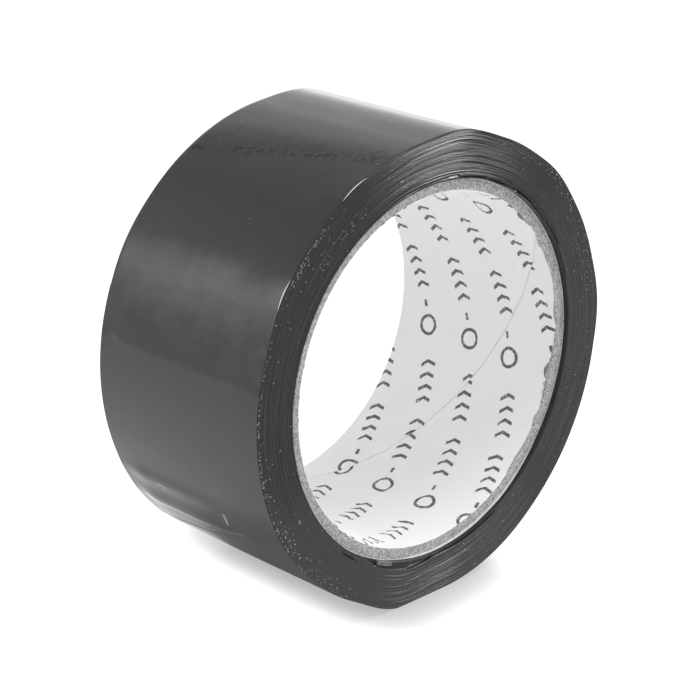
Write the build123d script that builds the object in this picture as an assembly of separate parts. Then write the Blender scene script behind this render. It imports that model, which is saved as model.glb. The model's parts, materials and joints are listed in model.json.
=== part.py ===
from build123d import *

import math
import os

# A roll of packing tape wound on a paperboard core, standing on its rim.
#
# Millimetres and degrees. The origin is in the middle of the core's bore, +Y runs along the bore
# and +Z is up. Angles round the roll go from +X towards +Z. The tape is wound with rising angle:
# it starts in the fold on the core and ends at the free end, which lies on the -X side.

# The core: a tube of paper strips, each wound on a helix with its edges butted.
BORE_RADIUS = 38.0
LINER_THICKNESS = 0.15
BOARD_THICKNESS = 0.55
BOARD_PLIES = 4
COVER_THICKNESS = 0.13
GLUE_LINE = 0.03
CORE_FRONT_RECESS = 1.2
CORE_BACK_RECESS = 0.6
SEAM_GAP = 0.3
SEAM_LEAD = 120.0
LINER_SEAM_ANGLE = -32.0
SEAM_SPACING = 137.0

# The tape.
TAPE_WIDTH = 48.0
TAPE_THICKNESS = 0.048
WOUND_DEPTH = 9.3
LOOSE_CLEARANCE = 0.05
FLAT_WIDTH = 9.0

# The folded start of the tape, in a hollow between the core and the first wound lap.
FOLD_ANGLE = 248.0
FOLD_LENGTH = 4.6
FOLD_HEIGHT = 0.8
START_LAP_TURN = 346.0
HOLLOW_ANGLE = 254.0
HOLLOW_DEPTH = 1.5
HOLLOW_RADIUS = 20.0

# Corners that the wound laps carry outward: angle, share of the greatest height and half of the
# angle they spread over. The highest is where the laps ride over the folded start.
CORNER_HEIGHT = 1.15
LAP_CORNERS = (
    (4.0, 0.43, 14.0),
    (45.0, 0.3, 12.0),
    (82.0, 0.6, 14.0),
    (120.0, 0.35, 12.0),
    (147.0, 0.52, 14.0),
    (256.0, 1.0, 15.0),
)
OUTLINE_STEP = 5.0

# The free end: the last stretch of tape, which peels off the roll and straightens as it lifts.
PEEL_ANGLE = 158.0
END_LINKS = 5
LINK_TURN = 12.0
CUT_ANGLE = 219.5
CUT_SKEW = 13.0
END_LIFT = 0.6

GLUE_LINES = BOARD_PLIES + 1
CORE_WALL = LINER_THICKNESS + BOARD_PLIES * BOARD_THICKNESS + COVER_THICKNESS + GLUE_LINES * GLUE_LINE
CORE_OUTER_RADIUS = BORE_RADIUS + CORE_WALL
START_LAP_RADIUS = CORE_OUTER_RADIUS + GLUE_LINE
FRONT = -TAPE_WIDTH / 2
BACK = TAPE_WIDTH / 2
CORE_FRONT = FRONT + CORE_FRONT_RECESS
CORE_BACK = BACK - CORE_BACK_RECESS
WINDING_BORE_RADIUS = START_LAP_RADIUS + TAPE_THICKNESS + LOOSE_CLEARANCE
ROLL_RADIUS = WINDING_BORE_RADIUS + WOUND_DEPTH
LAP_RISE = TAPE_THICKNESS + LOOSE_CLEARANCE
FLAT_HEIGHT = math.sqrt(ROLL_RADIUS**2 - (FLAT_WIDTH / 2) ** 2)


def polar(radius, angle):
    """A point of the roll's cross-section, which is drawn in the XZ plane."""
    return radius * math.cos(math.radians(angle)), radius * math.sin(math.radians(angle))


def corner_height(angle):
    """How far the lap corners push the laps out at an angle."""
    height = 0.0
    for middle, share, spread in LAP_CORNERS:
        away = abs((angle - middle + 180.0) % 360.0 - 180.0)
        if away < spread:
            height += share * CORNER_HEIGHT * (1 + math.cos(math.pi * away / spread)) / 2
    return height


def lap_radius(angle):
    """The winding's outer surface, a spiral that rises by one lap from the peel line round to it."""
    return ROLL_RADIUS + LAP_RISE * (angle - PEEL_ANGLE - 360.0) / 360.0 + corner_height(angle)


def end_lift(angle):
    """How far the free end has sprung off the roll, which grows over its last link."""
    lift_start = PEEL_ANGLE + (END_LINKS - 1) * LINK_TURN
    lift_turn = CUT_ANGLE - lift_start
    return END_LIFT * max(0.0, (angle - lift_start) / lift_turn) ** 2


def along(outline, low, high):
    """The solid of a cross-section outline between two places along the bore."""
    return extrude(Plane.XZ.offset(-high) * outline, amount=high - low)


def arc_band(inner, outer, first, last):
    """An outline between two radii that vary with the angle, each an arc through three points."""
    middle = (first + last) / 2
    inside = [polar(inner(angle), angle) for angle in (first, middle, last)]
    outside = [polar(outer(angle), angle) for angle in (first, middle, last)]
    return make_face(
        [
            ThreePointArc(*inside),
            Line(inside[2], outside[2]),
            ThreePointArc(*outside),
            Line(outside[0], inside[0]),
        ]
    )


def butt_seam(inner, outer, angle):
    """The helical gap between the edges of a strip whose seam crosses the core's middle at an angle."""
    margin = 1.0
    length = CORE_BACK - CORE_FRONT + 2 * margin
    turn = 360.0 * length / SEAM_LEAD
    middle = (CORE_FRONT + CORE_BACK) / 2
    start_angle = angle + turn / 2 + 360.0 * middle / SEAM_LEAD
    depth = outer - inner + 2 * margin
    blade = Location(polar((inner + outer) / 2, start_angle), start_angle) * Rectangle(depth, SEAM_GAP)
    section = Plane.XZ.offset(-(CORE_FRONT - margin)) * blade
    centre = (0, CORE_FRONT - margin, 0)
    return Solid.extrude_linear_with_rotation(section.face(), centre, (0, length, 0), turn)


def core_ply(inner, thickness, seam_angle):
    """One wound strip of the core: a thin tube, open along its butt seam."""
    outer = inner + thickness
    tube = along(Circle(outer) - Circle(inner), CORE_FRONT, CORE_BACK)
    return tube - butt_seam(inner, outer, seam_angle)


def core_plies():
    """Every strip of the core by its node's name, from the bore outwards."""
    thicknesses = {"core_liner": LINER_THICKNESS}
    for number in range(1, BOARD_PLIES + 1):
        thicknesses[f"core_board_{number}"] = BOARD_THICKNESS
    thicknesses["core_cover"] = COVER_THICKNESS
    plies = {}
    inner = BORE_RADIUS
    seam_angle = LINER_SEAM_ANGLE
    for name, thickness in thicknesses.items():
        plies[name] = core_ply(inner, thickness, seam_angle)
        inner += thickness + GLUE_LINE
        seam_angle += SEAM_SPACING
    return plies


def tape_start():
    """The tape's first lap, stuck to the core, with the folded end that starts it."""
    lap_outside = START_LAP_RADIUS + TAPE_THICKNESS
    gap = 360.0 - START_LAP_TURN
    far = 2 * lap_outside
    opening = make_face(
        Polyline((0, 0), polar(far, FOLD_ANGLE - gap), polar(far, FOLD_ANGLE), close=True)
    )
    lap = Circle(lap_outside) - Circle(START_LAP_RADIUS) - opening
    fold_radius = lap_outside + FOLD_HEIGHT / 2 - TAPE_THICKNESS / 2
    fold = SlotOverall(FOLD_LENGTH, FOLD_HEIGHT)
    fold -= SlotOverall(FOLD_LENGTH - 2 * TAPE_THICKNESS, FOLD_HEIGHT - 2 * TAPE_THICKNESS)
    fold = Location(polar(fold_radius, FOLD_ANGLE), FOLD_ANGLE + 90.0) * fold
    return along(lap + fold, FRONT, BACK)


def tape_winding():
    """All the wound laps up to the peel line, pressed flat where the roll stands."""
    steps = round(360.0 / OUTLINE_STEP)
    angles = [PEEL_ANGLE + OUTLINE_STEP * step for step in range(steps + 1)]
    points = [polar(lap_radius(angle), angle) for angle in angles]
    outline = make_face([Spline(*points), Line(points[-1], points[0])])
    hollow_place = polar(WINDING_BORE_RADIUS + HOLLOW_DEPTH - HOLLOW_RADIUS, HOLLOW_ANGLE)
    outline -= Circle(WINDING_BORE_RADIUS)
    outline -= Location(hollow_place) * Circle(HOLLOW_RADIUS)
    laps = along(outline, FRONT, BACK)
    return split(laps, Plane.XY.offset(-FLAT_HEIGHT), keep=Keep.TOP)


def end_link(number):
    """One stretch of the free end. Each is hinged to the one before, and the last has the cut edge."""
    first = PEEL_ANGLE + (number - 1) * LINK_TURN
    last = first + LINK_TURN
    if number == END_LINKS:
        last = CUT_ANGLE + CUT_SKEW

    def inside(angle):
        return lap_radius(angle) + LOOSE_CLEARANCE + end_lift(angle)

    def outside(angle):
        return inside(angle) + TAPE_THICKNESS

    link = along(arc_band(inside, outside, first, last), FRONT, BACK)
    if number < END_LINKS:
        return link
    across_x, across_z = polar(1.0, CUT_ANGLE)
    skew = math.radians(CUT_SKEW)
    facing = (-across_z * math.cos(skew), -math.sin(skew), across_x * math.cos(skew))
    cut = Plane(
        origin=(across_x * ROLL_RADIUS, 0, across_z * ROLL_RADIUS),
        x_dir=(across_x, 0, across_z),
        z_dir=facing,
    )
    return split(link, cut, keep=Keep.BOTTOM)


def main():
    nodes = core_plies()
    nodes["tape_start"] = tape_start()
    nodes["tape_winding"] = tape_winding()
    for number in range(1, END_LINKS + 1):
        nodes[f"tape_end_{number}"] = end_link(number)
    os.makedirs("parts", exist_ok=True)
    for name, shape in nodes.items():
        export_step(shape, f"parts/{name}.step")


main()
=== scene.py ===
import json
import math

import bpy
import numpy as np
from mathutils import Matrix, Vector


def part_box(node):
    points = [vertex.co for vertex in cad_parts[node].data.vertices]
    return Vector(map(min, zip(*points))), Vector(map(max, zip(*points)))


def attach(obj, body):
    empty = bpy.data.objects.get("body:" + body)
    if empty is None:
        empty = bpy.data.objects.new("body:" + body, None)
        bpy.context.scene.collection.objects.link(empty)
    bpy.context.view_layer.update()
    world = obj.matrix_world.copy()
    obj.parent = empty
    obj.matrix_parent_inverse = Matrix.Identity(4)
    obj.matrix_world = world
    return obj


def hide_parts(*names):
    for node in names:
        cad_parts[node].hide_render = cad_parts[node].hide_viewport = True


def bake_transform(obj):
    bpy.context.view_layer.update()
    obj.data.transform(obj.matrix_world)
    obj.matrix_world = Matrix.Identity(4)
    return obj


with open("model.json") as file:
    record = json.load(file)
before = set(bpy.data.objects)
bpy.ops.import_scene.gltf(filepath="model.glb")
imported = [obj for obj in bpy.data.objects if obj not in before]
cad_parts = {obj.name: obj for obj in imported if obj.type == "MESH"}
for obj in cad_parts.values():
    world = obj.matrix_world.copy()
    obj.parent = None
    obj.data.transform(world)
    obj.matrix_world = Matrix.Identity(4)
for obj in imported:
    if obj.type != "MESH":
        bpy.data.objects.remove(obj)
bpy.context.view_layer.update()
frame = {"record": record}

# A roll of packing tape, standing on its rim. Metres and degrees, in the frame of the solids: +Y runs
# along the bore, +Z is up, and angles round the roll go from +X towards +Z.
MM = 0.001


def node_radius(node):
    """The outer radius of a round solid, from its box."""
    low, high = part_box(node)
    return max(-low.x, high.x, -low.z, high.z)


# ---------------------------------------------------------------- sizes

BORE_RADIUS = next(m for m in frame["record"]["mounts"] if m["name"] == "core_bore")["dims"]["r_mm"] * MM
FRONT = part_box("tape_winding")[0].y
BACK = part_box("tape_winding")[1].y
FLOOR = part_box("tape_winding")[0].z
CORE_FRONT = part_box("core_liner")[0].y
CORE_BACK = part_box("core_liner")[1].y
CORE_RADIUS = node_radius("core_cover")
TAPE_WIDTH = BACK - FRONT

GLUE_LINE = 0.03 * MM
TAPE_THICKNESS = 0.048 * MM
LOOSE_CLEARANCE = 0.05 * MM
WOUND_DEPTH = 9.3 * MM
START_LAP_RADIUS = CORE_RADIUS + GLUE_LINE
WINDING_BORE_RADIUS = START_LAP_RADIUS + TAPE_THICKNESS + LOOSE_CLEARANCE
ROLL_RADIUS = WINDING_BORE_RADIUS + WOUND_DEPTH
LAP_RISE = TAPE_THICKNESS + LOOSE_CLEARANCE

SEAM_LEAD = 120.0 * MM
SEAM_GAP = 0.3 * MM
LINER_SEAM_ANGLE = -32.0
SEAM_SPACING = 137.0

FOLD_ANGLE = 248.0
FOLD_LENGTH = 4.6 * MM
FOLD_HEIGHT = 0.8 * MM
FOLD_BORE = 0.16 * MM
START_LAP_TURN = 346.0
HOLLOW_ANGLE = 254.0
HOLLOW_DEPTH = 1.5 * MM
HOLLOW_RADIUS = 20.0 * MM

# The corners of the lapped winding: angle, share of the greatest height, half spread, and the share of
# its height that a corner keeps towards the back. The last one is too slight for the solids.
CORNER_HEIGHT = 1.15 * MM
CORNER_FADE = 16.0 * MM
ROUNDING = 0.10 * MM
LAP_CORNERS = (
    (4.0, 0.43, 14.0, 1.0),
    (45.0, 0.3, 12.0, 1.0),
    (82.0, 0.6, 14.0, 0.9),
    (120.0, 0.35, 12.0, 0.0),
    (147.0, 0.52, 14.0, 0.4),
    (256.0, 1.0, 15.0, 1.0),
    (292.0, 0.28, 22.0, 1.0),
)

PEEL_ANGLE = 158.0
END_LINKS = 5
LINK_TURN = 12.0
CUT_ANGLE = 219.5
CUT_SKEW = 13.0


# ---------------------------------------------------------------- shape formulas


def polar(radius, angle):
    """X and Z of a place on the roll's cross-section."""
    turn = np.radians(angle)
    return radius * np.cos(turn), radius * np.sin(turn)


def smooth_step(value, low, high):
    """0 under low, 1 over high, and a smooth rise from one to the other."""
    share = np.clip((value - low) / (high - low), 0.0, 1.0)
    return share * share * (3 - 2 * share)


def plateau(value, low, full, fading, high):
    """1 from full to fading, with a smooth rise from low and a smooth fall to high."""
    return smooth_step(value, low, full) * (1 - smooth_step(value, fading, high))


def turn_between(angle, middle):
    """The signed angle from a middle, between -180 and 180."""
    return (angle - middle + 180.0) % 360.0 - 180.0


def corner_height(angle, along):
    """How far the corners push the laps out at an angle and a place along the bore."""
    to_back = smooth_step(along, FRONT, FRONT + CORNER_FADE)
    height = 0.0
    for middle, share, spread, back_share in LAP_CORNERS:
        away = np.minimum(np.abs(turn_between(angle, middle)) / spread, 1.0)
        kept = 1.0 + (back_share - 1.0) * to_back
        height = height + kept * share * CORNER_HEIGHT * (1 + np.cos(math.pi * away)) / 2
    return height


def lap_radius(angle, along):
    """The winding's outer surface: a spiral that rises by one lap from the peel line round to it."""
    past_peel = (angle - PEEL_ANGLE) % 360.0
    past_peel = np.where(past_peel < 1e-4, 360.0, past_peel)
    return ROLL_RADIUS + LAP_RISE * (past_peel - 360.0) / 360.0 + corner_height(angle, along)


def soft_minimum(first, second):
    """The smaller of two radii, with a rounded change from one to the other."""
    return (first + second - np.sqrt((first - second) ** 2 + ROUNDING**2)) / 2


def hollow_radius(angle):
    """The winding's bore, with the hollow that the folded start of the tape leaves."""
    middle = WINDING_BORE_RADIUS + HOLLOW_DEPTH - HOLLOW_RADIUS
    away = np.radians(turn_between(angle, HOLLOW_ANGLE))
    under = np.maximum(HOLLOW_RADIUS**2 - (middle * np.sin(away)) ** 2, 0.0)
    hollow = np.where(np.cos(away) > 0, middle * np.cos(away) + np.sqrt(under), 0.0)
    return np.maximum(hollow, WINDING_BORE_RADIUS)


def softened(share):
    """The same share from 0 to 1, with a slow start and a slow end."""
    return share**3 * (share * (6 * share - 15) + 10)


def hills(angle, along, round_cells, across_cells, seed):
    """Smooth random hills between -1 and 1 over the roll's side, which close up round the roll."""
    heights = np.random.default_rng(seed).uniform(-1, 1, (round_cells, across_cells + 2))
    u = (angle % 360.0) / 360.0 * round_cells
    v = np.clip((along - FRONT) / TAPE_WIDTH, 0.0, 1.0) * across_cells
    i = np.floor(u).astype(int)
    j = np.floor(v).astype(int)
    fu = softened(u - i)
    fv = softened(v - j)
    here = i % round_cells
    after = (i + 1) % round_cells
    low_row = heights[here, j] * (1 - fu) + heights[after, j] * fu
    high_row = heights[here, j + 1] * (1 - fu) + heights[after, j + 1] * fu
    return low_row * (1 - fv) + high_row * fv


# Small dents and bumps that trapped air and grit leave in the film: angle, place along the bore,
# radius round the roll, radius along the bore, and how far the film sinks.
FILM_DENTS = (
    (171.0, 20.5 * MM, 2.0 * MM, 2.4 * MM, 0.060 * MM),
    (143.5, 2.0 * MM, 1.3 * MM, 1.6 * MM, 0.016 * MM),
    (146.0, 8.0 * MM, 3.0 * MM, 4.0 * MM, 0.022 * MM),
    (150.0, -17.0 * MM, 4.0 * MM, 3.0 * MM, 0.026 * MM),
    (203.0, 15.0 * MM, 0.8 * MM, 2.6 * MM, 0.016 * MM),
    (209.5, -6.0 * MM, 1.2 * MM, 0.45 * MM, -0.07 * MM),
    (214.0, -2.5 * MM, 0.5 * MM, 2.5 * MM, -0.03 * MM),
    (202.0, 12.0 * MM, 0.35 * MM, 1.2 * MM, -0.03 * MM),
    (33.0, 6.0 * MM, 4.0 * MM, 5.0 * MM, 0.024 * MM),
    (318.0, -9.0 * MM, 3.0 * MM, 5.0 * MM, 0.024 * MM),
)
# Layers of hills in the film: height, cells round the roll, cells across it, and the seed of its own.
WAVES = (0.011 * MM, 30, 3, 11)
RIPPLES = (0.0022 * MM, 96, 11, 12)
WRINKLES = (0.005 * MM, 150, 24, 13)
STREAKS = (0.008 * MM, 110, 4, 14)
# Where the last two layers lie: the angles between which they rise to their height, and fall again.
WRINKLED = (98.0, 106.0, 118.0, 126.0)
STREAKED = (80.0, 90.0, 112.0, 124.0)


def hill_layer(angle, along, height, round_cells, across_cells, seed):
    """How far one layer of hills lets the film sink. Its highest hills touch the drawn surface."""
    return height * (hills(angle, along, round_cells, across_cells, seed) - 1)


def film_relief(angle, along):
    """How far the side film sinks from its drawn surface: waves, ripples, wrinkles, streaks and dents."""
    sunk = hill_layer(angle, along, *WAVES) + hill_layer(angle, along, *RIPPLES)
    sunk = sunk + plateau(angle, *WRINKLED) * hill_layer(angle, along, *WRINKLES)
    sunk = sunk + plateau(angle, *STREAKED) * hill_layer(angle, along, *STREAKS)
    for middle, place, reach_round, reach_along, depth in FILM_DENTS:
        across = np.radians(turn_between(angle, middle)) * ROLL_RADIUS / reach_round
        away = across**2 + ((along - place) / reach_along) ** 2
        sunk = sunk - depth * np.exp(-2 * away)
    return sunk


LIP_START = 197.0
LIP_ANGLE = 213.5
LIP_HEIGHT = 0.50 * MM
LIP_DROP = 0.34 * MM
SLACK_HEIGHT = 0.32 * MM
SLACK_ANGLE = 205.0
SLACK_TURN = 8.5
FLARE_HEIGHT = 0.12 * MM
FLARE_WIDTH = 0.6 * MM
# The front part of the free end keeps this share of the lip's height, and its back edge is held down.
LIP_FRONT_SHARE = 0.04
BACK_EDGE_HELD = 0.85


def end_lift(angle, along):
    """How far the free end stands off the roll. It rises to a lip and bends back down to the cut, with two
    soft waves where it is slack. Most of this is in its rear half."""
    rear = smooth_step(along, -9.0 * MM, 6.0 * MM)
    edge_held = 1 - BACK_EDGE_HELD * smooth_step(along, 16.0 * MM, BACK)
    lip = LIP_HEIGHT * smooth_step(angle, LIP_START, LIP_ANGLE)
    lip = lip - LIP_DROP * smooth_step(angle, LIP_ANGLE, CUT_ANGLE + 3.0)
    slack = (1 + np.cos(2 * math.pi * (angle - SLACK_ANGLE) / SLACK_TURN)) / 2
    slack_start = SLACK_ANGLE - SLACK_TURN / 2
    slack_end = SLACK_ANGLE + SLACK_TURN
    slack = slack * plateau(angle, slack_start, SLACK_ANGLE, slack_end, slack_end + SLACK_TURN / 2)
    slack = SLACK_HEIGHT * slack * smooth_step(along, -18.0 * MM, 5.0 * MM)
    to_cut = np.radians(cut_angle(along) - angle) * ROLL_RADIUS
    flare = FLARE_HEIGHT * np.clip(1 - to_cut / FLARE_WIDTH, 0.0, 1.0) ** 2
    lip = lip * (LIP_FRONT_SHARE + (1 - LIP_FRONT_SHARE) * rear)
    return (lip + slack + flare * rear) * edge_held


def cut_angle(along):
    """Where the tape was cut off, on a slant across its width."""
    return CUT_ANGLE + np.degrees(np.tan(math.radians(CUT_SKEW)) * along / ROLL_RADIUS)


# ---------------------------------------------------------------- mesh work

SHARP_ANGLE = 50.0


def deselect_all():
    bpy.ops.object.select_all(action="DESELECT")


def name_new(name):
    """Names the primitive that was just added."""
    piece = bpy.context.object
    piece.name = name
    piece.data.name = name
    return piece


def select_only(piece):
    deselect_all()
    piece.select_set(True)
    bpy.context.view_layer.objects.active = piece


def flat_grid(name, columns, rows):
    """A flat grid of size 1, to be laid on the roll."""
    deselect_all()
    bpy.ops.mesh.primitive_grid_add(x_subdivisions=columns, y_subdivisions=rows, size=1)
    return name_new(name)


def apply_place(piece):
    select_only(piece)
    bpy.ops.object.transform_apply(location=True, rotation=True, scale=True)


def select_edges(piece, wanted):
    """In edit mode, selects the edges whose direction and middle pass a test."""
    bpy.ops.object.mode_set(mode="OBJECT")
    for part in (piece.data.vertices, piece.data.edges, piece.data.polygons):
        part.foreach_set("select", np.zeros(len(part), bool))
    for edge in piece.data.edges:
        first, second = (piece.data.vertices[v].co for v in edge.vertices)
        edge.select = wanted((second - first).normalized(), (first + second) / 2)
    bpy.ops.object.mode_set(mode="EDIT")


def anywhere(place):
    return True


def subdivide_along(piece, direction, cuts, chosen=anywhere):
    """Cuts the chosen edges that run along an axis into equal lengths."""
    bpy.ops.mesh.select_mode(type="EDGE")
    select_edges(piece, lambda run, middle: abs(run.dot(direction)) > 0.9 and chosen(middle))
    bpy.ops.mesh.subdivide(number_cuts=cuts)


def flat_points(piece):
    """The X, Y and Z of the piece's points."""
    co = np.empty(len(piece.data.vertices) * 3)
    piece.data.vertices.foreach_get("co", co)
    return co.reshape(-1, 3).T


def points_of(piece):
    """The piece's points as radius, angle and place along the bore."""
    x, y, z = flat_points(piece)
    return np.hypot(x, z), np.degrees(np.arctan2(z, x)) % 360.0, y


def place_points(piece, radius, angle, along):
    """Puts the piece's points at a radius, an angle and a place along the bore."""
    x, z = polar(radius, angle)
    piece.data.vertices.foreach_set("co", np.column_stack((x, along, z)).ravel())
    piece.data.update()


def apply_modifier(piece, kind, **settings):
    made = piece.modifiers.new(kind.lower(), kind)
    for name, value in settings.items():
        setattr(made, name, value)
    bpy.context.view_layer.objects.active = piece
    bpy.ops.object.modifier_apply(modifier=made.name)


def store_number(piece, name, values):
    """Keeps a number for each point, which a material can read."""
    made = piece.data.attributes.new(name, "FLOAT", "POINT")
    made.data.foreach_set("value", np.asarray(values, np.float32))


def smooth_faces(piece, sharp_angle):
    select_only(piece)
    bpy.ops.object.shade_smooth_by_angle(angle=math.radians(sharp_angle))


def outward_normals(piece):
    bpy.context.view_layer.objects.active = piece
    bpy.ops.object.mode_set(mode="EDIT")
    bpy.ops.mesh.select_all(action="SELECT")
    bpy.ops.mesh.normals_make_consistent(inside=False)
    bpy.ops.object.mode_set(mode="OBJECT")


def spun_ring(name, inner, outer, low, high, face_cuts, side_cuts, bore_cuts, steps):
    """A closed ring round the bore: a flat profile with cut edges, spun once round."""
    deselect_all()
    middle = ((inner + outer) / 2, (low + high) / 2, 0)
    bpy.ops.mesh.primitive_plane_add(size=1, location=middle)
    ring = name_new(name)
    ring.scale = (outer - inner, high - low, 1)
    apply_place(ring)
    bpy.ops.object.mode_set(mode="EDIT")
    bpy.ops.mesh.delete(type="ONLY_FACE")
    subdivide_along(ring, Vector((1, 0, 0)), face_cuts)
    subdivide_along(ring, Vector((0, 1, 0)), side_cuts, lambda place: place.x > middle[0])
    subdivide_along(ring, Vector((0, 1, 0)), bore_cuts, lambda place: place.x < middle[0])
    bpy.ops.mesh.select_all(action="SELECT")
    bpy.ops.mesh.spin(steps=steps, angle=2 * math.pi, center=(0, 0, 0), axis=(0, -1, 0))
    bpy.ops.mesh.select_all(action="SELECT")
    bpy.ops.mesh.remove_doubles(threshold=0.001 * MM)
    bpy.ops.object.mode_set(mode="OBJECT")
    outward_normals(ring)
    return ring


def finish_piece(piece, body, material, slot, *stands_for):
    """Dresses a piece, lets it ride on its body and hides the solids that it stands for."""
    if not piece.data.materials:
        piece.data.materials.append(material)
    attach(piece, body)
    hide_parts(*stands_for)


# ---------------------------------------------------------------- materials


class Value:
    """A number among the nodes. Arithmetic on it adds Math nodes."""

    def __init__(self, nodes, socket):
        self.nodes = nodes
        self.socket = socket

    def math(self, operation, *others):
        inputs = dict(enumerate((self,) + others))
        return self.nodes.number("ShaderNodeMath", {"operation": operation}, inputs)

    def __add__(self, other):
        return self.math("ADD", other)

    def __sub__(self, other):
        return self.math("SUBTRACT", other)

    def __rsub__(self, other):
        return (self * -1).math("ADD", other)

    def __mul__(self, other):
        return self.math("MULTIPLY", other)

    def __truediv__(self, other):
        return self.math("DIVIDE", other)

    __radd__ = __add__
    __rmul__ = __mul__

    def above(self, edge):
        return self.math("GREATER_THAN", edge)

    def below(self, edge):
        return self.math("LESS_THAN", edge)

    def between(self, low, high):
        """0 under low, 1 over high, and a smooth rise from one to the other."""
        settings = {"interpolation_type": "SMOOTHSTEP"}
        inputs = {"Value": self, "From Min": low, "From Max": high}
        return self.nodes.number("ShaderNodeMapRange", settings, inputs)

    def plateau(self, low, full, fading, high):
        """1 from full to fading, with a smooth rise from low and a smooth fall to high."""
        return self.between(low, full) * (1 - self.between(fading, high))


class NodeTree:
    """The nodes of a material or of the room."""

    def __init__(self, tree):
        self.tree = tree

    def node(self, kind, settings=None, inputs=None):
        made = self.tree.nodes.new(kind)
        for name, value in (settings or {}).items():
            setattr(made, name, value)
        for name, value in (inputs or {}).items():
            self.feed(made.inputs[name], value)
        return made

    def number(self, kind, settings=None, inputs=None, output=0):
        return Value(self, self.node(kind, settings, inputs).outputs[output])

    def feed(self, socket, value):
        if isinstance(value, Value):
            value = value.socket
        if isinstance(value, bpy.types.NodeSocket):
            self.tree.links.new(value, socket)
        else:
            socket.default_value = value

    def parts_of(self, vector):
        split = self.node("ShaderNodeSeparateXYZ", None, {"Vector": vector})
        return [Value(self, socket) for socket in split.outputs]


class Finish(NodeTree):
    """A material with one main shader, and the nodes that feed it."""

    def __init__(self, name, roughness, specular=0.5):
        self.material = bpy.data.materials.new(name)
        self.material.use_nodes = True
        super().__init__(self.material.node_tree)
        self.shader = self.tree.nodes["Principled BSDF"]
        self.shader.inputs["Roughness"].default_value = roughness
        self.shader.inputs["Specular IOR Level"].default_value = specular
        self.place = self.node("ShaderNodeTexCoord").outputs["Object"]

    def set(self, **inputs):
        for name, value in inputs.items():
            self.feed(self.shader.inputs[name.replace("_", " ")], value)

    def noise(self, per_mm, detail=2.0, roughness=0.5, waves=None):
        """Noise with so many waves to the millimetre, about 0 to 1. It may have more waves of its own
        along a fourth direction."""
        settings = {"noise_dimensions": "3D" if waves is None else "4D"}
        inputs = {"Vector": self.place, "Scale": per_mm / MM, "Detail": detail, "Roughness": roughness}
        if waves is not None:
            inputs["W"] = waves * (MM / per_mm)
        return self.number("ShaderNodeTexNoise", settings, inputs)

    def spots(self, per_mm):
        """The distance to the nearest of many random places, in cells, and that cell's own number."""
        made = self.node("ShaderNodeTexVoronoi", None, {"Vector": self.place, "Scale": per_mm / MM})
        tone = self.node("ShaderNodeSeparateColor", None, {"Color": made.outputs["Color"]})
        return Value(self, made.outputs["Distance"]), Value(self, tone.outputs[0])

    def attribute(self, name):
        return self.number("ShaderNodeAttribute", {"attribute_name": name}, None, "Fac")

    def blend(self, share, first, second):
        """A colour between two, by a share."""
        made = self.node("ShaderNodeMix", {"data_type": "RGBA"}, {0: share})
        self.feed(made.inputs[6], first)
        self.feed(made.inputs[7], second)
        return made.outputs[2]

    def bump(self, height, depth):
        """Raises the surface by a height of 0 to 1 times a depth."""
        inputs = {"Height": height, "Distance": depth}
        self.set(Normal=self.node("ShaderNodeBump", None, inputs).outputs[0])


def grey(level):
    return (level, level, level, 1.0)


# Painted highlights along nicks and creases on the free end: the angle and the place along the bore in
# millimetres of one end and of the other, the half width in millimetres, and how bright the painted
# highlight is.
PAINTED_HIGHLIGHT_MARKS = (
    (206.7, -7.4, 211.6, -6.7, 0.45, 1.0),
    (205.8, 12.8, 206.9, 9.6, 0.36, 0.8),
    (195.5, 13.9, 196.8, 12.8, 0.18, 0.4),
    (218.6, 3.2, 215.6, -2.4, 0.16, 0.6),
    (215.6, -2.4, 212.9, -11.0, 0.14, 0.5),
)
MARK_FADE = 0.8

# The crease across the top left of the film, with a painted dark line along it as painted shade: its angle
# in the middle of the tape, how far it slants in degrees to the millimetre, and the half widths in degrees
# of its core and of all of it.
CREASE_ANGLE = 113.5
CREASE_SLANT = 0.27
CREASE_CORE = 0.3
CREASE_REACH = 2.2
# Where the film is hazy, as the angles between which the haze rises to its full strength and falls.
HAZY = (138, 150, 160, 176)


def painted_highlight_mask(film, angle, along):
    """Where the painted highlights along the nicks and creases are, from 0 to 1."""
    marked = angle * 0.0
    mm_per_degree = math.radians(ROLL_RADIUS / MM)
    for first_angle, first_along, last_angle, last_along, half_width, highlight_strength in PAINTED_HIGHLIGHT_MARKS:
        run = Vector(((last_angle - first_angle) * mm_per_degree, last_along - first_along))
        way = run.normalized()
        round_it = (angle - first_angle) * mm_per_degree
        along_it = along - first_along
        gone = round_it * way.x + along_it * way.y
        aside = (along_it * way.x - round_it * way.y).math("ABSOLUTE")
        ends = gone.plateau(0.0, MARK_FADE, run.length - MARK_FADE, run.length)
        marked = marked.math("MAXIMUM", ends * (1 - aside.between(half_width * 0.5, half_width)) * highlight_strength)
    return marked


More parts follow.
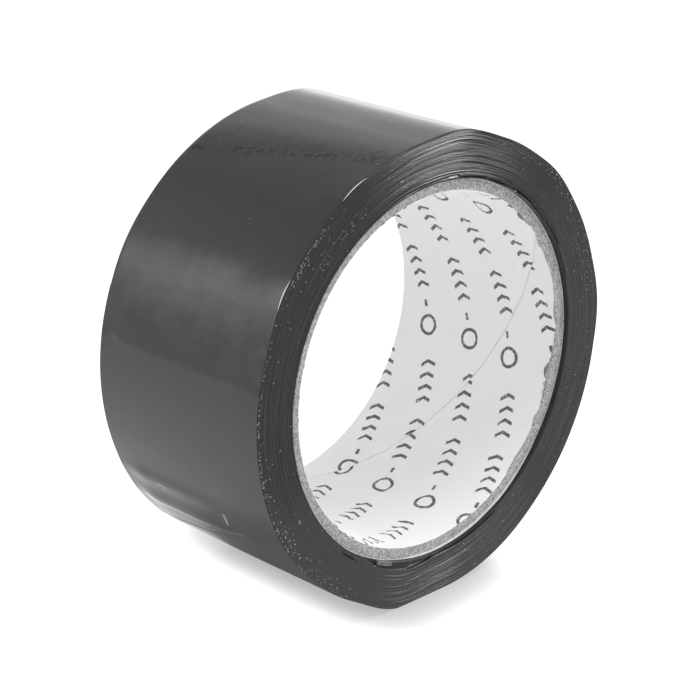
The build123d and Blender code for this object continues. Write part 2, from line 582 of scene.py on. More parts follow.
def film_finish():
    """The glossy side of the dark film, with a crease that carries a painted dark line as painted shade, a
    haze, scuffs, and painted highlights on the nicks, creases and cut edge of its free end.
    """
    film = Finish("tape_film_side", 0.07)
    angle = film.attribute("film_angle")
    along = film.attribute("film_along")
    # The nicks, creases and cut edge of the free end are painted pale, as painted highlights.
    painted_highlight = film.attribute("near_cut").above(0.5).math("MAXIMUM", painted_highlight_mask(film, angle, along))
    dark = film.blend(film.noise(0.05, 3.0), grey(0.020), grey(0.028))
    haze = film.noise(0.13, 3.0, 0.6).between(0.42, 0.64)
    dark = film.blend(haze * angle.plateau(*HAZY), dark, grey(0.040))
    # The crease gets a bump and a painted dark line, which is painted shade.
    off_crease = (angle - along * CREASE_SLANT - CREASE_ANGLE).math("ABSOLUTE")
    crease_with_painted_shade = 1 - off_crease.between(CREASE_CORE, CREASE_REACH)
    crease_with_painted_shade = crease_with_painted_shade * film.noise(0.11, 1.0).between(0.28, 0.42)
    smooth = (film.noise(0.5, 2.0, 0.5) - 0.5).math("ABSOLUTE").between(0.03, 0.10)
    dark = film.blend(crease_with_painted_shade * (1 - smooth), dark, grey(0.002))
    film.set(Base_Color=film.blend(painted_highlight, dark, grey(0.34)))
    scuffs = film.noise(0.35, 4.0, 0.65).between(0.52, 0.75)
    film.set(Roughness=0.06 + scuffs * 0.07)
    film.bump(film.noise(0.35, 2.0) * 0.6 + crease_with_painted_shade * smooth * 0.5, 0.03 * MM)
    return film.material


def wound_edge_finish():
    """The end face of the winding: the cut edges of the laps side by side, with a few pale specks."""
    edge = Finish("tape_wound_edge", 0.24, 0.20)
    lap = edge.attribute("lap_depth")
    fine = edge.noise(0.03, 1.0, 0.5, lap * 6.0)
    bands = edge.noise(0.05, 2.0, 0.5, lap * 0.8)
    tone = edge.blend(fine.between(0.35, 0.68) * 0.7 + bands * 0.3, grey(0.006), grey(0.012))
    distance, own = edge.spots(2.2)
    specks = distance.below(0.16) * own.above(0.93)
    dusty = edge.noise(0.12, 3.0).between(0.45, 0.7)
    edge.set(Base_Color=edge.blend(specks * dusty, tone, grey(0.40)))
    edge.set(Roughness=0.12 + bands * 0.08)
    edge.bump(fine, 0.13 * MM)
    return edge.material


def fold_finish():
    """The doubled film of the fold, in a paler grey than the film, with random paler patches."""
    fold = Finish("tape_fold", 0.35)
    fold.set(Base_Color=fold.blend(fold.noise(1.2, 3.0).between(0.35, 0.65), grey(0.05), grey(0.16)))
    fold.bump(fold.noise(1.2, 3.0), 0.05 * MM)
    return fold.material


def pressed_finish():
    """Laps deep between the core and the winding, where little light comes."""
    laps = Finish("tape_pressed_laps", 0.45, 0.12)
    lines = laps.noise(0.05, 2.0, 0.5, laps.attribute("lap_depth") * 3.0)
    laps.set(Base_Color=laps.blend(lines, grey(0.004), grey(0.012)))
    laps.bump(lines, 0.05 * MM)
    return laps.material


def board_finish():
    """Grey recycled board, fibrous where it is cut."""
    board = Finish("core_board_paper", 0.95, 0.2)
    fibres = board.noise(2.4, 4.0, 0.7)
    lumps = board.noise(0.7, 3.0, 0.6)
    pale = board.blend(fibres.between(0.38, 0.62), grey(0.24), grey(0.58))
    board.set(Base_Color=board.blend(lumps.between(0.58, 0.70) * 0.4, pale, grey(0.16)))
    board.bump(fibres, 0.12 * MM)
    return board.material


# The liner's print: slanted rows of a ring, a dash and two groups of chevrons. Places along a row
# count from its ring, in millimetres.
ROW_LEAN = 18.05
ROW_SPACING = 12.8
ROW_REPEAT = 39.6
RING_ANGLE = -73.0
RING_ALONG = -12.0
RING_RADIUS = 2.1
CHEVRON_PITCH = 2.9
CHEVRONS_START = 8.4
CHEVRONS_PER_GROUP = 4
CHEVRON_HALF_HEIGHT = 1.9
STROKE = 0.37


def liner_finish():
    """White liner paper, printed in grey. The print breaks where the strip's edges meet."""
    liner = Finish("core_liner_paper", 0.62, 0.3)
    x, y, z = liner.parts_of(liner.place)
    around = z.math("ARCTAN2", x) * (BORE_RADIUS / MM)
    along = y / MM
    full_turn = 2 * math.pi * BORE_RADIUS / MM
    seam = math.radians(LINER_SEAM_ANGLE) * BORE_RADIUS / MM - along * (full_turn * MM / SEAM_LEAD)
    past_seam = (around - seam + 2 * full_turn) / full_turn
    on_strip = past_seam.math("FRACT") * full_turn + seam
    on_strip = on_strip - math.radians(RING_ANGLE) * BORE_RADIUS / MM + 4 * ROW_REPEAT
    lean = math.radians(ROW_LEAN)
    row = (along - RING_ALONG - on_strip * math.tan(lean)) / ROW_SPACING + 40.5
    off_row = (row.math("FRACT") - 0.5) * (ROW_SPACING * math.cos(lean))
    run = (on_strip + off_row * math.sin(lean)) / ROW_REPEAT + 0.15
    run = (run.math("FRACT") - 0.15) * (ROW_REPEAT / math.cos(lean))
    off_line = off_row.math("ABSOLUTE")
    ring = (run.math("POWER", 2.0) + off_row.math("POWER", 2.0)).math("SQRT") - RING_RADIUS
    ink = ring.math("ABSOLUTE").below(STROKE)
    ink = ink.math("MAXIMUM", off_line.below(STROKE) * (run - 5.1).math("ABSOLUTE").below(0.8))
    pitches = (run - CHEVRONS_START) / CHEVRON_PITCH
    number = pitches.math("FLOOR")
    in_group = (number - CHEVRONS_PER_GROUP).math("ABSOLUTE").above(0.5)
    in_group = in_group * number.above(-0.5) * number.below(2 * CHEVRONS_PER_GROUP + 0.5)
    across = pitches.math("FRACT") * CHEVRON_PITCH + off_line * 0.5 - 1.7
    chevron = across.math("ABSOLUTE").below(STROKE * 1.15) * off_line.below(CHEVRON_HALF_HEIGHT) * in_group
    ink = ink.math("MAXIMUM", chevron)
    wear = liner.noise(1.6, 3.0, 0.6).between(0.30, 0.50)
    paper = liner.blend(liner.noise(0.12, 3.0), grey(0.87), grey(0.92))
    liner.set(Base_Color=liner.blend(ink * (0.6 + wear * 0.4), paper, grey(0.11)))
    liner.bump(liner.noise(0.5, 4.0, 0.6), 0.02 * MM)
    return liner.material


def cover_finish():
    """The core's white outer strip."""
    cover = Finish("core_cover_paper", 0.8, 0.3)
    fibres = cover.noise(2.0, 3.0, 0.6)
    cover.set(Base_Color=cover.blend(fibres, grey(0.70), grey(0.85)))
    cover.bump(fibres, 0.03 * MM)
    return cover.material


def lint_and_glint_finish():
    """Paper dust and lint. The rim slivers wear the same pale colour as a painted highlight."""
    lint_and_glint = Finish("pale_lint_and_painted_glint", 0.9, 0.2)
    lint_and_glint.set(Base_Color=lint_and_glint.blend(lint_and_glint.noise(1.5), grey(0.70), grey(0.92)))
    return lint_and_glint.material


# ---------------------------------------------------------------- the tape

FACE_RINGS = 45
SIDE_RINGS = 60
BORE_RINGS = 10
WINDING_STEPS = 560
# The laps' ridges on the end faces, and how far a face lies below its rim, where dust settles.
FACE_RIDGE = 0.0025 * MM
FACE_SINK = 0.03 * MM
# The rounding of its rims, and the share of a face's normal along the bore that makes it an end face.
EDGE_BEVEL = 0.07 * MM
END_FACING = 0.45


def face_ridges(share, angle, seed):
    """How far each ring of laps stands in or out on an end face, which changes slowly round the roll."""
    draw = np.random.default_rng(seed)
    ring = np.rint(share * FACE_RINGS).astype(int)
    own = draw.uniform(-1, 1, FACE_RINGS + 1)[ring]
    waves = 0.0
    for turns in (2, 5, 9, 17):
        start = draw.uniform(0, 2 * math.pi, FACE_RINGS + 1)[ring]
        waves = waves + np.sin(np.radians(angle) * turns + start) / 4
    return own + waves


# Splits between laps near the core, where the laps have come apart: the angle and the ring of laps at one
# end and at the other, and how deep the split is.
LAP_SPLITS = (
    (50.0, 0, 90.0, 3, 0.35 * MM),
    (34.0, 0, 62.0, 3, 0.35 * MM),
    (14.0, 0, 44.0, 3, 0.3 * MM),
    (24.0, 4, 70.0, 6, 0.25 * MM),
    (226.0, 4, 239.0, 6, 0.25 * MM),
)
# Laps next to the core that are pressed in, after the fold that starts the tape: the angles between
# which they sink to their depth and rise again, how many rings of laps, and the depth.
SUNK_TURN = (256.0, 260.0, 288.0, 300.0)
SUNK_RINGS = 3
SUNK_DEPTH = 0.55 * MM
PRESSED_TURN = 46.0
PRESSED_LENGTH = TAPE_WIDTH - 2 * SUNK_DEPTH


def wound_laps(side, edge):
    """All the laps up to the peel line, as one ring with a spiral side and finely ridged faces."""
    cuts = (FACE_RINGS - 1, SIDE_RINGS - 1, BORE_RINGS - 1)
    ring = spun_ring("wound_laps", WINDING_BORE_RADIUS, ROLL_RADIUS, FRONT, BACK, *cuts, WINDING_STEPS)
    radius, angle, along = points_of(ring)
    angle = (angle + PEEL_ANGLE % (360.0 / WINDING_STEPS)) % 360.0
    share = np.clip((radius - WINDING_BORE_RADIUS) / WOUND_DEPTH, 0.0, 1.0)
    inside = hollow_radius(angle)
    downward = np.maximum(-np.sin(np.radians(angle)), 0.5)
    outside = soft_minimum(lap_radius(angle, along), -FLOOR / downward)
    on_side = share > 0.9999
    relief = np.where(on_side, film_relief(angle, along), 0.0)
    new_radius = inside + (outside - inside) * share + relief
    on_front = along < FRONT + 0.01 * MM
    on_back = along > BACK - 0.01 * MM
    ridge = np.where(on_front, face_ridges(share, angle, 21), face_ridges(share, angle, 22))
    sink = (FACE_SINK + FACE_RIDGE * ridge) * plateau(share, 0.0, 0.04, 0.97, 1.0)
    number = np.rint(share * FACE_RINGS).astype(int)
    for start, first_ring, stop, last_ring, depth in LAP_SPLITS:
        gone = (angle - start) / (stop - start)
        here = number == np.rint(first_ring + gone * (last_ring - first_ring)).astype(int)
        sink = sink + np.where(here & on_front, depth * plateau(gone, 0.0, 0.2, 0.8, 1.0), 0.0)
    sunk = SUNK_DEPTH * plateau(angle, *SUNK_TURN)
    sink = sink + np.where((number < SUNK_RINGS) & on_front, sunk, 0.0)
    along = along + np.where(on_front, sink, 0.0) - np.where(on_back, sink, 0.0)
    place_points(ring, new_radius, angle, along)
    sharp = {"limit_method": "ANGLE", "angle_limit": math.radians(60)}
    apply_modifier(ring, "BEVEL", width=EDGE_BEVEL, segments=2, **sharp)
    ring.data.materials.append(side)
    ring.data.materials.append(edge)
    radius, angle, along = points_of(ring)
    inside = hollow_radius(angle)
    depth = (radius - inside) / (lap_radius(angle, along) - inside) * WOUND_DEPTH / MM
    store_number(ring, "lap_depth", depth)
    store_number(ring, "film_angle", np.where(angle < 190.0, angle, angle - 360.0))
    store_number(ring, "film_along", along / MM)
    sharpen_peel_line(ring, radius, angle)
    normals = np.empty(len(ring.data.polygons) * 3)
    ring.data.polygons.foreach_get("normal", normals)
    faces_end = np.abs(normals.reshape(-1, 3)[:, 1]) > END_FACING
    ring.data.polygons.foreach_set("material_index", faces_end.astype(np.int32))
    smooth_faces(ring, SHARP_ANGLE)
    finish_piece(ring, "roll", side, "tape_film", "tape_winding")


def sharpen_peel_line(ring, radius, angle):
    """Keeps the winding's shading apart from the step down at the peel line, which the free end covers."""
    at_line = (np.abs(angle - PEEL_ANGLE) < 0.01) & (radius > ROLL_RADIUS - WOUND_DEPTH / FACE_RINGS)
    ends = np.empty(len(ring.data.edges) * 2, np.int32)
    ring.data.edges.foreach_get("vertices", ends)
    along_line = at_line[ends.reshape(-1, 2)].all(axis=1)
    made = ring.data.attributes.new("sharp_edge", "BOOLEAN", "EDGE")
    made.data.foreach_set("value", along_line)


FILM_COLUMN_TURN = 0.4
FILM_ROWS = 120
END_CROWDING = 1.6
BLEND_MARGIN = 0.3


def film_sheet(name, first, last, columns, crowding, material):
    """A flat sheet of film, laid on the roll from one angle to another. The last angle may be a number,
    or a function of the place along the bore, towards which the columns may crowd."""
    sheet = flat_grid(name, columns, FILM_ROWS)
    x, y, z = flat_points(sheet)
    share = 1 - np.maximum(0.5 - x, 0.0) ** crowding
    along = FRONT + (y + 0.5) * TAPE_WIDTH
    stop = last(along) if callable(last) else last
    angle = first + share * (stop - first)
    spiral = ROLL_RADIUS + LAP_RISE * (angle - PEEL_ANGLE) / 360.0 + corner_height(angle, along)
    radius = spiral + film_relief(angle, along) + end_lift(angle, along)
    place_points(sheet, radius, angle, along)
    store_number(sheet, "film_angle", angle)
    store_number(sheet, "film_along", along / MM)
    sheet.data.materials.append(material)
    return sheet


def free_end(material):
    """The free end of the tape: one film, in stretches that each span one hinge. They meet halfway along
    the links."""
    joins = [PEEL_ANGLE] + [PEEL_ANGLE + (number - 0.5) * LINK_TURN for number in range(1, END_LINKS)]
    for number in range(1, END_LINKS + 1):
        first = joins[number - 1]
        is_last = number == END_LINKS
        last = cut_angle if is_last else joins[number]
        turn = (CUT_ANGLE if is_last else last) - first
        columns = round(turn / FILM_COLUMN_TURN)
        crowding = END_CROWDING if is_last else 1.0
        sheet = film_sheet(f"free_end_{number}", first, last, columns, crowding, material)
        if is_last:
            # Marks the cut edge, which the film's material paints pale as a painted highlight.
            radius, angle, along = points_of(sheet)
            store_number(sheet, "near_cut", np.abs(angle - cut_angle(along)) < 0.01)
        apply_modifier(sheet, "SOLIDIFY", thickness=TAPE_THICKNESS, offset=-1.0)
        smooth_faces(sheet, SHARP_ANGLE)
        hinge_angle = PEEL_ANGLE + (number - 1) * LINK_TURN
        reach = LINK_TURN / 2 - BLEND_MARGIN
        start = polar(ROLL_RADIUS, hinge_angle - (reach if number > 1 else 0.0))
        end = polar(ROLL_RADIUS, hinge_angle + reach)
        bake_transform(sheet)
        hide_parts(f"tape_end_{number}")


def first_lap(material, fold_material):
    """The tape's first lap round the core, and the fold that starts it."""
    lap = flat_grid("first_lap", 360, 8)
    x, y, z = flat_points(lap)
    angle = FOLD_ANGLE + (x + 0.5) * START_LAP_TURN
    lap_outside = START_LAP_RADIUS + TAPE_THICKNESS
    place_points(lap, lap_outside, angle, FRONT + (y + 0.5) * TAPE_WIDTH)
    apply_modifier(lap, "SOLIDIFY", thickness=TAPE_THICKNESS, offset=-1.0)
    smooth_faces(lap, SHARP_ANGLE)
    finish_piece(lap, "roll", material, "tape_film", "tape_start")
    fold = spun_ring("start_fold", FOLD_BORE / 2, FOLD_HEIGHT / 2, FRONT, BACK, 1, 9, 9, 32)
    x, y, z = flat_points(fold)
    stretch = np.sign(x) * (FOLD_LENGTH - FOLD_HEIGHT) / 2
    middle = lap_outside + FOLD_HEIGHT / 2
    place_points(fold, middle + z, FOLD_ANGLE + np.degrees((x + stretch) / middle), y)
    smooth_faces(fold, SHARP_ANGLE)
    finish_piece(fold, "roll", fold_material, "tape_film")


def pressed_laps(material):
    """Loose laps that fill the hollow after the fold, set back a little from both end faces."""
    deselect_all()
    bpy.ops.mesh.primitive_cube_add(size=1)
    laps = name_new("pressed_laps")
    bpy.ops.object.mode_set(mode="EDIT")
    subdivide_along(laps, Vector((1, 0, 0)), 59)
    subdivide_along(laps, Vector((0, 1, 0)), 5)
    bpy.ops.object.mode_set(mode="OBJECT")
    x, y, z = flat_points(laps)
    angle = HOLLOW_ANGLE + x * PRESSED_TURN
    inner = WINDING_BORE_RADIUS - 0.03 * MM
    outer = hollow_radius(angle) - 0.02 * MM
    share = y + 0.5
    along = FRONT + SUNK_DEPTH + (z + 0.5) * PRESSED_LENGTH
    place_points(laps, inner + share * (outer - inner), angle, along)
    outward_normals(laps)
    store_number(laps, "lap_depth", share * HOLLOW_DEPTH / MM)
    smooth_faces(laps, SHARP_ANGLE)
    finish_piece(laps, "roll", material, "tape_film")


# Slivers of film that stand up on the front rim, coloured pale as a painted highlight: from angle, to
# angle, and width.
RIM_SLIVERS = (
    (114.5, 122.5, 0.20 * MM),
    (144.0, 151.0, 0.26 * MM),
)


def rim_sliver(number, start, stop, width, material):
    """A thin torn sliver along the front rim, widest in its middle, in a pale colour that is a painted
    highlight.
    """
    sliver = flat_grid(f"rim_sliver_{number}", 24, 3)
    x, y, z = flat_points(sliver)
    angle = start + (x + 0.5) * (stop - start)
    taper = np.maximum(np.sin(math.pi * (x + 0.5)), 0.08)
    along = FRONT + 0.05 * MM + (y + 0.5) * width * taper
    radius = lap_radius(angle, along) + 0.06 * MM * (0.4 + taper)
    place_points(sliver, radius, angle, along)
    apply_modifier(sliver, "SOLIDIFY", thickness=TAPE_THICKNESS, offset=-1.0)
    smooth_faces(sliver, SHARP_ANGLE)
    finish_piece(sliver, "roll", material, "tape_film")


# ---------------------------------------------------------------- the core

STRIP_STEPS = 900
# Where the liner's front edge is torn and where the cover stands proud: the signed angles between which
# each rises to its full size and falls again, the second counted from its own middle.
TORN_TURN = (-58.0, -43.0, 47.0, 62.0)
TORN_DEPTH = 0.9 * MM
PROUD_ANGLE = 290.0
PROUD_TURN = (-37.0, -27.0, 12.0, 37.0)
PROUD_HEIGHT = 0.50 * MM


def edge_hills(angle, round_cells, seed):
    """Smooth random hills between -1 and 1 along an edge that goes round the core."""
    return hills(angle, 0.0 * angle, round_cells, 3, seed)


def torn_back(angle):
    """How far the liner's front edge is torn back from the board, on one side of the core."""
    reach = plateau(turn_between(angle, 0.0), *TORN_TURN)
    rough = 0.45 + 0.55 * edge_hills(angle, 90, 51) + 0.25 * edge_hills(angle, 420, 52)
    return TORN_DEPTH * reach * np.clip(rough, 0.0, 1.0)


def proud_cover(angle):
    """How far the core's cover stands out past the board, low on the core."""
    reach = plateau(turn_between(angle, PROUD_ANGLE), *PROUD_TURN)
    return PROUD_HEIGHT * reach * (0.8 + 0.2 * edge_hills(angle, 60, 53))


def wound_strip(name, node, inner, seam_angle, thickness_cuts, ragged, material, slot):
    """One paper strip of the core, wound on its helix with its edges butted. Its ends are ragged."""
    outer = node_radius(node)
    around = 2 * math.pi * inner
    deselect_all()
    bpy.ops.mesh.primitive_cube_add(size=1, location=(0, (CORE_FRONT + CORE_BACK) / 2, 0))
    strip = name_new(name)
    strip.scale = (around - SEAM_GAP, CORE_BACK - CORE_FRONT, outer - inner)
    apply_place(strip)
    bpy.ops.object.mode_set(mode="EDIT")
    subdivide_along(strip, Vector((1, 0, 0)), STRIP_STEPS - 1)
    subdivide_along(strip, Vector((0, 1, 0)), 9)
    subdivide_along(strip, Vector((0, 0, 1)), thickness_cuts)
    bpy.ops.object.mode_set(mode="OBJECT")
    x, along, z = flat_points(strip)
    share = z / (outer - inner) + 0.5
    turn = (x / around + 0.5) * 360.0
    angle = seam_angle + turn - along / SEAM_LEAD * 360.0
    radius = inner + share * (outer - inner)
    own_seed = len(name) * 7 + int(seam_angle * 10) % 97
    torn = np.random.default_rng(own_seed).uniform(0, 1, len(along))
    clumps = (hills(angle, FRONT + share * TAPE_WIDTH, 240, 4, 31) + 1) / 2
    at_end = (along < CORE_FRONT + 0.01 * MM) | (along > CORE_BACK - 0.01 * MM)
    at_front = at_end & (along < 0)
    inward = np.where(along < 0, 1.0, -1.0)
    along = along + np.where(at_end, inward * ragged * (0.5 * torn + 0.5 * clumps), 0.0)
    if node == "core_liner":
        along = along + np.where(at_front, torn_back(angle), 0.0)
    if node == "core_cover":
        along = along - np.where(at_front, proud_cover(angle), 0.0)
    place_points(strip, radius, angle, along)
    smooth_faces(strip, 40)
    finish_piece(strip, "roll", material, slot, node)
    return outer


def core(liner, board, cover):
    """The core's strips, from the bore outwards."""
    plies = [("core_liner", "liner_strip", liner, "liner_paper", 0, 0.10 * MM)]
    for number in range(1, 5):
        plies.append((f"core_board_{number}", f"board_strip_{number}", board, "core_board", 3, 0.11 * MM))
    plies.append(("core_cover", "cover_strip", cover, "cover_paper", 0, 0.05 * MM))
    inner = BORE_RADIUS
    seam_angle = LINER_SEAM_ANGLE
    for node, name, material, slot, cuts, ragged in plies:
        inner = wound_strip(name, node, inner, seam_angle, cuts, ragged, material, slot) + GLUE_LINE
        seam_angle += SEAM_SPACING


# ---------------------------------------------------------------- dust


def flakes(name, count, seed, place_flake, material):
    """Small flakes of paper dust: one flake, repeated. A function places each copy. It gives the copy's
    length, width and thickness, its turn, its point, and two directions of the surface there."""
    deselect_all()
    bpy.ops.mesh.primitive_ico_sphere_add(subdivisions=1, radius=0.5)
    dust = name_new(name)
    points = len(dust.data.vertices)
    apply_modifier(dust, "ARRAY", count=count)
    co = flat_points(dust).T.reshape(count, points, 3)
    co = co - co.mean(axis=1, keepdims=True)
    draw = np.random.default_rng(seed)
    for number in range(count):
        size, turn, point, right, up = place_flake(draw)
        shape = co[number] * size * draw.uniform(0.7, 1.2, (points, 1))
        across = shape[:, :1] * math.cos(turn) - shape[:, 1:2] * math.sin(turn)
        upward = shape[:, :1] * math.sin(turn) + shape[:, 1:2] * math.cos(turn)
        co[number] = point + across * right + upward * up + shape[:, 2:] * np.cross(right, up)
    dust.data.vertices.foreach_set("co", co.ravel())
    dust.data.update()
    finish_piece(dust, "roll", material, "liner_paper")


def flake_size(draw, usual):
    """Most flakes are grains, some are short fibres."""
    grain = usual * draw.uniform(0.6, 1.6)
    fibre = draw.uniform(3.0, 7.0) if draw.uniform() < 0.05 else 1.0
    return np.array((grain * fibre, grain * (0.7 if fibre == 1.0 else 0.35), 0.05 * MM))


# Where dust has gathered on an end face: angle, half spread, radius, half spread, and share of the dust.
DUST_DRIFTS = (
    (45.0, 14.0, 49.2 * MM, 0.8 * MM, 0.07),
    (20.0, 12.0, 47.6 * MM, 1.4 * MM, 0.08),
    (138.0, 10.0, 49.4 * MM, 0.7 * MM, 0.18),
    (185.0, 24.0, 49.6 * MM, 0.5 * MM, 0.16),
    (215.0, 20.0, 48.6 * MM, 1.2 * MM, 0.20),
    (128.0, 9.0, 45.0 * MM, 1.6 * MM, 0.06),
)


def face_flake(front):
    """Places a flake on an end face."""

    def place(draw):
        angle = draw.uniform(0, 360)
        depth = draw.uniform(0.04, 0.97)
        radius = WINDING_BORE_RADIUS + depth * WOUND_DEPTH
        pick = draw.uniform()
        for middle, spread, usual, reach, share in DUST_DRIFTS:
            if 0 <= pick < share:
                angle = middle + spread * draw.normal() * 0.7
                radius = usual + reach * draw.normal() * 0.7
            pick -= share
        round_angle = np.float64(angle % 360.0)
        lowest = float(hollow_radius(round_angle)) + 0.25 * MM
        highest = min(float(lap_radius(round_angle, np.float64(FRONT))), ROLL_RADIUS) - 0.2 * MM
        x, z = polar(min(max(radius, lowest), highest), angle)
        size = flake_size(draw, 0.15 * MM)
        side = FRONT + size[2] / 2 if front else BACK - size[2] / 2
        right = np.array((1.0 if front else -1.0, 0.0, 0.0))
        return size, draw.uniform(0, math.pi), np.array((x, side, z)), right, np.array((0.0, 0.0, 1.0))

    return place


def side_flake(draw):
    """Places a flake on the film's side, away from the free end."""
    angle = draw.uniform(-140.0, PEEL_ANGLE - 4.0)
    along = draw.uniform(FRONT, BACK) * 0.97
    size = flake_size(draw, 0.15 * MM)
    radius = float(lap_radius(np.float64(angle % 360.0), np.float64(along)))
    downward = -math.sin(math.radians(angle))
    if downward > 0.5:
        radius = min(radius, -FLOOR / downward)
    x, z = polar(radius - size[2] * 0.2, angle)
    turn = math.radians(angle)
    tangent = np.array((-math.sin(turn), 0.0, math.cos(turn)))
    return size, draw.uniform(0, math.pi), np.array((x, along, z)), np.array((0.0, 1.0, 0.0)), -tangent


def dust(lint_and_glint):
    flakes("dust_front", 480, 41, face_flake(True), lint_and_glint)
    flakes("dust_back", 300, 42, face_flake(False), lint_and_glint)
    flakes("dust_side", 60, 43, side_flake, lint_and_glint)


# ---------------------------------------------------------------- studio

SHEET_LEFT = -0.345
SHEET_RIGHT = 1.2
SHEET_NEAR = -1.3
WALL_PLACE = 1.0
WALL_LEFT = 0.06
WALL_TOP = 0.955
BOARD_WHITE = 0.88
CARD_DISTANCE = 0.95
# The room's level in gloss, and on matt surfaces, where it is stronger by a share from the right.
ROOM_GLOSS = 0.63
ROOM_DIFFUSE = 0.92
ROOM_TILT = 0.25
# What the camera sees of the table: how pale it is under the light, and the glow that makes it white,
# which is dimmer at the roll's foot.
TABLE_SEEN = 0.18
FOOT_SHADE = 0.43


def white_board(name, low, high, turn, material):
    """A flat white board that lies or stands."""
    deselect_all()
    bpy.ops.mesh.primitive_plane_add(size=1, location=(low + high) / 2, rotation=(turn, 0, 0))
    board = name_new(name)
    size = high - low
    board.scale = (size.x, max(size.y, size.z), 1)
    apply_place(board)
    board.data.materials.append(material)


def studio_white(name):
    """A white that can differ for the camera and in reflections, and which of the two looks at it."""
    white = Finish(name, 1.0, 0.0)
    seen = white.number("ShaderNodeLightPath", None, None, "Is Camera Ray")
    mirrored = white.number("ShaderNodeLightPath", None, None, "Is Glossy Ray")
    white.set(Emission_Strength=1.0)
    return white, seen, mirrored


def table_finish():
    """The table is nearly white to the camera, and shaded under the roll's foot. In reflections it is
    dimmer close to the roll's free end, and brighter at its front foot."""
    white, seen, mirrored = studio_white("table_white")
    x, y, z = white.parts_of(white.place)
    across = (x + 0.030) / 0.021
    along = (y - 0.004) / 0.030
    away = (across * across + along * along).math("SQRT")
    across = x / 0.060
    along = (y + 0.045) / 0.035
    foot = 1 - (across * across + along * along).between(0.3, 1.2)
    off_foot = (x / 0.025).math("POWER", 4.0) + ((y - x * 0.12 - 0.005) / 0.041).math("POWER", 4.0)
    white.set(Base_Color=white.blend(seen, grey(BOARD_WHITE), grey(TABLE_SEEN)))
    bare = FOOT_SHADE + off_foot.between(0.1, 1.1) * (1 - FOOT_SHADE)
    white.set(Emission_Color=seen * bare + mirrored * (away.between(0.6, 1.5) * 0.34 + foot * 0.8))
    return white.material


def wall_finish():
    """In reflections the wall falls from a bright band above its foot to the room's tone at its top."""
    white, seen, mirrored = studio_white("wall_white")
    x, y, z = white.parts_of(white.place)
    depth = ((WALL_TOP - z) / (WALL_TOP - FLOOR)).math("MAXIMUM", 0.0)
    level = 0.50 + depth.between(0.0, 0.15) * 0.42 + depth.between(0.2, 0.5) * 0.18
    level = level + depth.between(0.45, 0.85) * 0.75 - depth.between(0.82, 1.0) * 0.6
    level = level * (0.80 + white.noise(0.02, 3.0) * 0.40)
    white.set(Base_Color=white.blend(mirrored, grey(BOARD_WHITE), grey(0.0)))
    white.set(Emission_Color=mirrored * level)
    return white.material


def reflector_card(name, direction, width, height, level):
    """A card of light that only reflections see. A function gives its brightness from the distances, in
    metres, across and up from its middle."""
    deselect_all()
    centre = Vector(direction).normalized() * CARD_DISTANCE
    bpy.ops.mesh.primitive_plane_add(size=1, location=centre)
    card = name_new(name)
    card.scale = (width, height, 1)
    card.rotation_euler = centre.to_track_quat("Z", "Y").to_euler()
    shine = Finish(name, 1.0, 0.0)
    x, y, z = shine.parts_of(shine.place)
    shine.set(Base_Color=grey(0.0), Emission_Strength=1.0)
    shine.set(Emission_Color=level(shine, x * width, y * height))
    card.data.materials.append(shine.material)
    card.visible_camera = False
    card.visible_diffuse = False
    card.visible_shadow = False


def back_light(shine, across, up):
    """Pale low down and as dim as the room at its top, with a bright patch of upright streaks between,
    which fades to the left."""
    patch = up.between(-0.2, 0.2) * across.between(-0.18, 0.02)
    streaks = shine.node("ShaderNodeCombineXYZ", None, {"X": across * 130.0, "Y": up * 7.0})
    mottled = shine.node("ShaderNodeTexNoise", None, {"Vector": streaks.outputs[0], "Scale": 1.0})
    patch = patch * (Value(shine, mottled.outputs[0]).between(0.25, 0.75) * 1.1 + 0.45)
    return ROOM_GLOSS + (1 - up.between(0.22, 0.72)) * (0.38 + patch * 1.65)


def side_light(shine, across, up):
    """A bright upright strip with a wide, dimmer wing on its right."""
    strip = across.plateau(-0.15, -0.08, 0.06, 0.09)
    wing = across.plateau(0.06, 0.09, 0.15, 0.50)
    tall = up.plateau(-0.35, -0.14, 0.14, 0.35)
    return ROOM_GLOSS + (strip * 66.0 + wing * 12.0) * tall


def room():
    """White to the camera, a soft light on matt surfaces that is stronger from the right, and a dimmer,
    even room in gloss."""
    world = bpy.data.worlds.new("studio")
    world.use_nodes = True
    world.node_tree.nodes.clear()
    nodes = NodeTree(world.node_tree)
    right, back, up = nodes.parts_of(nodes.node("ShaderNodeTexCoord").outputs["Generated"])
    seen = nodes.number("ShaderNodeLightPath", None, None, "Is Camera Ray")
    mirrored = nodes.number("ShaderNodeLightPath", None, None, "Is Glossy Ray")
    matt = right * (ROOM_DIFFUSE * ROOM_TILT) + ROOM_DIFFUSE
    level = matt + mirrored * (ROOM_GLOSS - matt)
    level = level + seen * (1 - level)
    light = nodes.node("ShaderNodeBackground", None, {"Color": grey(1.0), "Strength": level})
    nodes.node("ShaderNodeOutputWorld", None, {"Surface": light.outputs[0]})
    bpy.context.scene.world = world


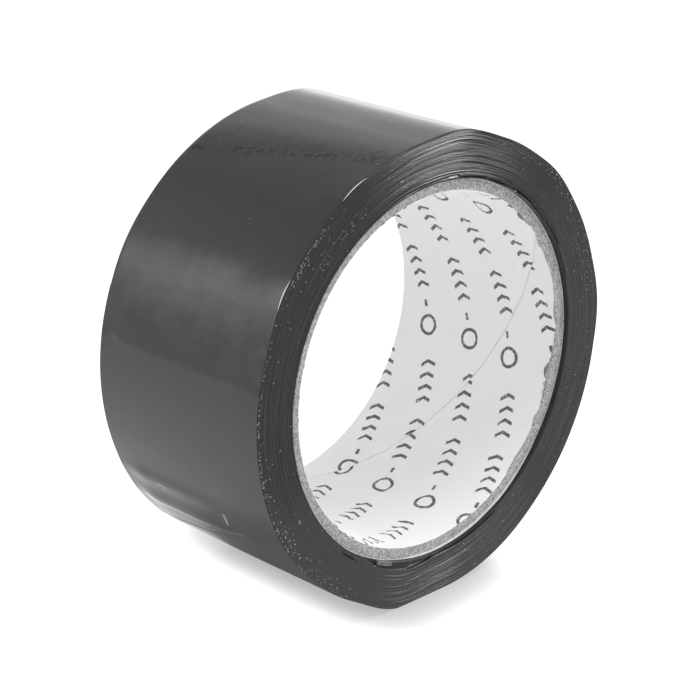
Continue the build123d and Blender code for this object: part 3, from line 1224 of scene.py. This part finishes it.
def soft_box(name, direction, distance, size, watts):
    """A square lamp that points at the roll and shows in no reflection."""
    data = bpy.data.lights.new(name, "AREA")
    data.shape = "SQUARE"
    data.size = size
    data.energy = watts
    lamp = bpy.data.objects.new(name, data)
    place = Vector(direction).normalized() * distance
    lamp.location = place
    lamp.rotation_euler = place.to_track_quat("Z", "Y").to_euler()
    lamp.visible_glossy = False
    bpy.context.scene.collection.objects.link(lamp)


CAMERA_PLACE = (-0.3046, -0.3117, 0.1631)
CAMERA_BACKWARD = (-0.6516, -0.6713, 0.3531)
CAMERA_LENS = 112.62
CAMERA_SENSOR = 36.0


def camera():
    data = bpy.data.cameras.new("camera")
    data.sensor_width = CAMERA_SENSOR
    data.lens = CAMERA_LENS
    data.clip_start = 0.01
    eye = bpy.data.objects.new("camera", data)
    eye.location = CAMERA_PLACE
    eye.rotation_euler = Vector(CAMERA_BACKWARD).to_track_quat("Z", "Y").to_euler()
    bpy.context.scene.collection.objects.link(eye)
    bpy.context.scene.camera = eye


# ---------------------------------------------------------------- the scene

side_film = film_finish()
wound_edge = wound_edge_finish()
lint_and_glint = lint_and_glint_finish()
wound_laps(side_film, wound_edge)
pressed_laps(pressed_finish())
free_end(side_film)
first_lap(side_film, fold_finish())
# The rim slivers are coloured pale, as painted highlights.
for number, (start, stop, width) in enumerate(RIM_SLIVERS, start=1):
    rim_sliver(number, start, stop, width, lint_and_glint)
core(liner_finish(), board_finish(), cover_finish())
dust(lint_and_glint)
table = (Vector((SHEET_LEFT, SHEET_NEAR, FLOOR)), Vector((SHEET_RIGHT, WALL_PLACE, FLOOR)))
wall = (Vector((WALL_LEFT, WALL_PLACE, FLOOR)), Vector((SHEET_RIGHT, WALL_PLACE, WALL_TOP)))
white_board("table", *table, 0, table_finish())
white_board("wall", *wall, math.pi / 2, wall_finish())
reflector_card("back_card", direction=(-0.66, 0.70, 0.24), width=0.9, height=1.6, level=back_light)
reflector_card("side_card", direction=(0.68, -0.68, 0.30), width=1.0, height=0.70, level=side_light)
room()
soft_box("key_light", direction=(0.45, -0.15, 0.88), distance=1.1, size=0.6, watts=5.0)
camera()
bpy.context.scene.view_settings.view_transform = "Standard"
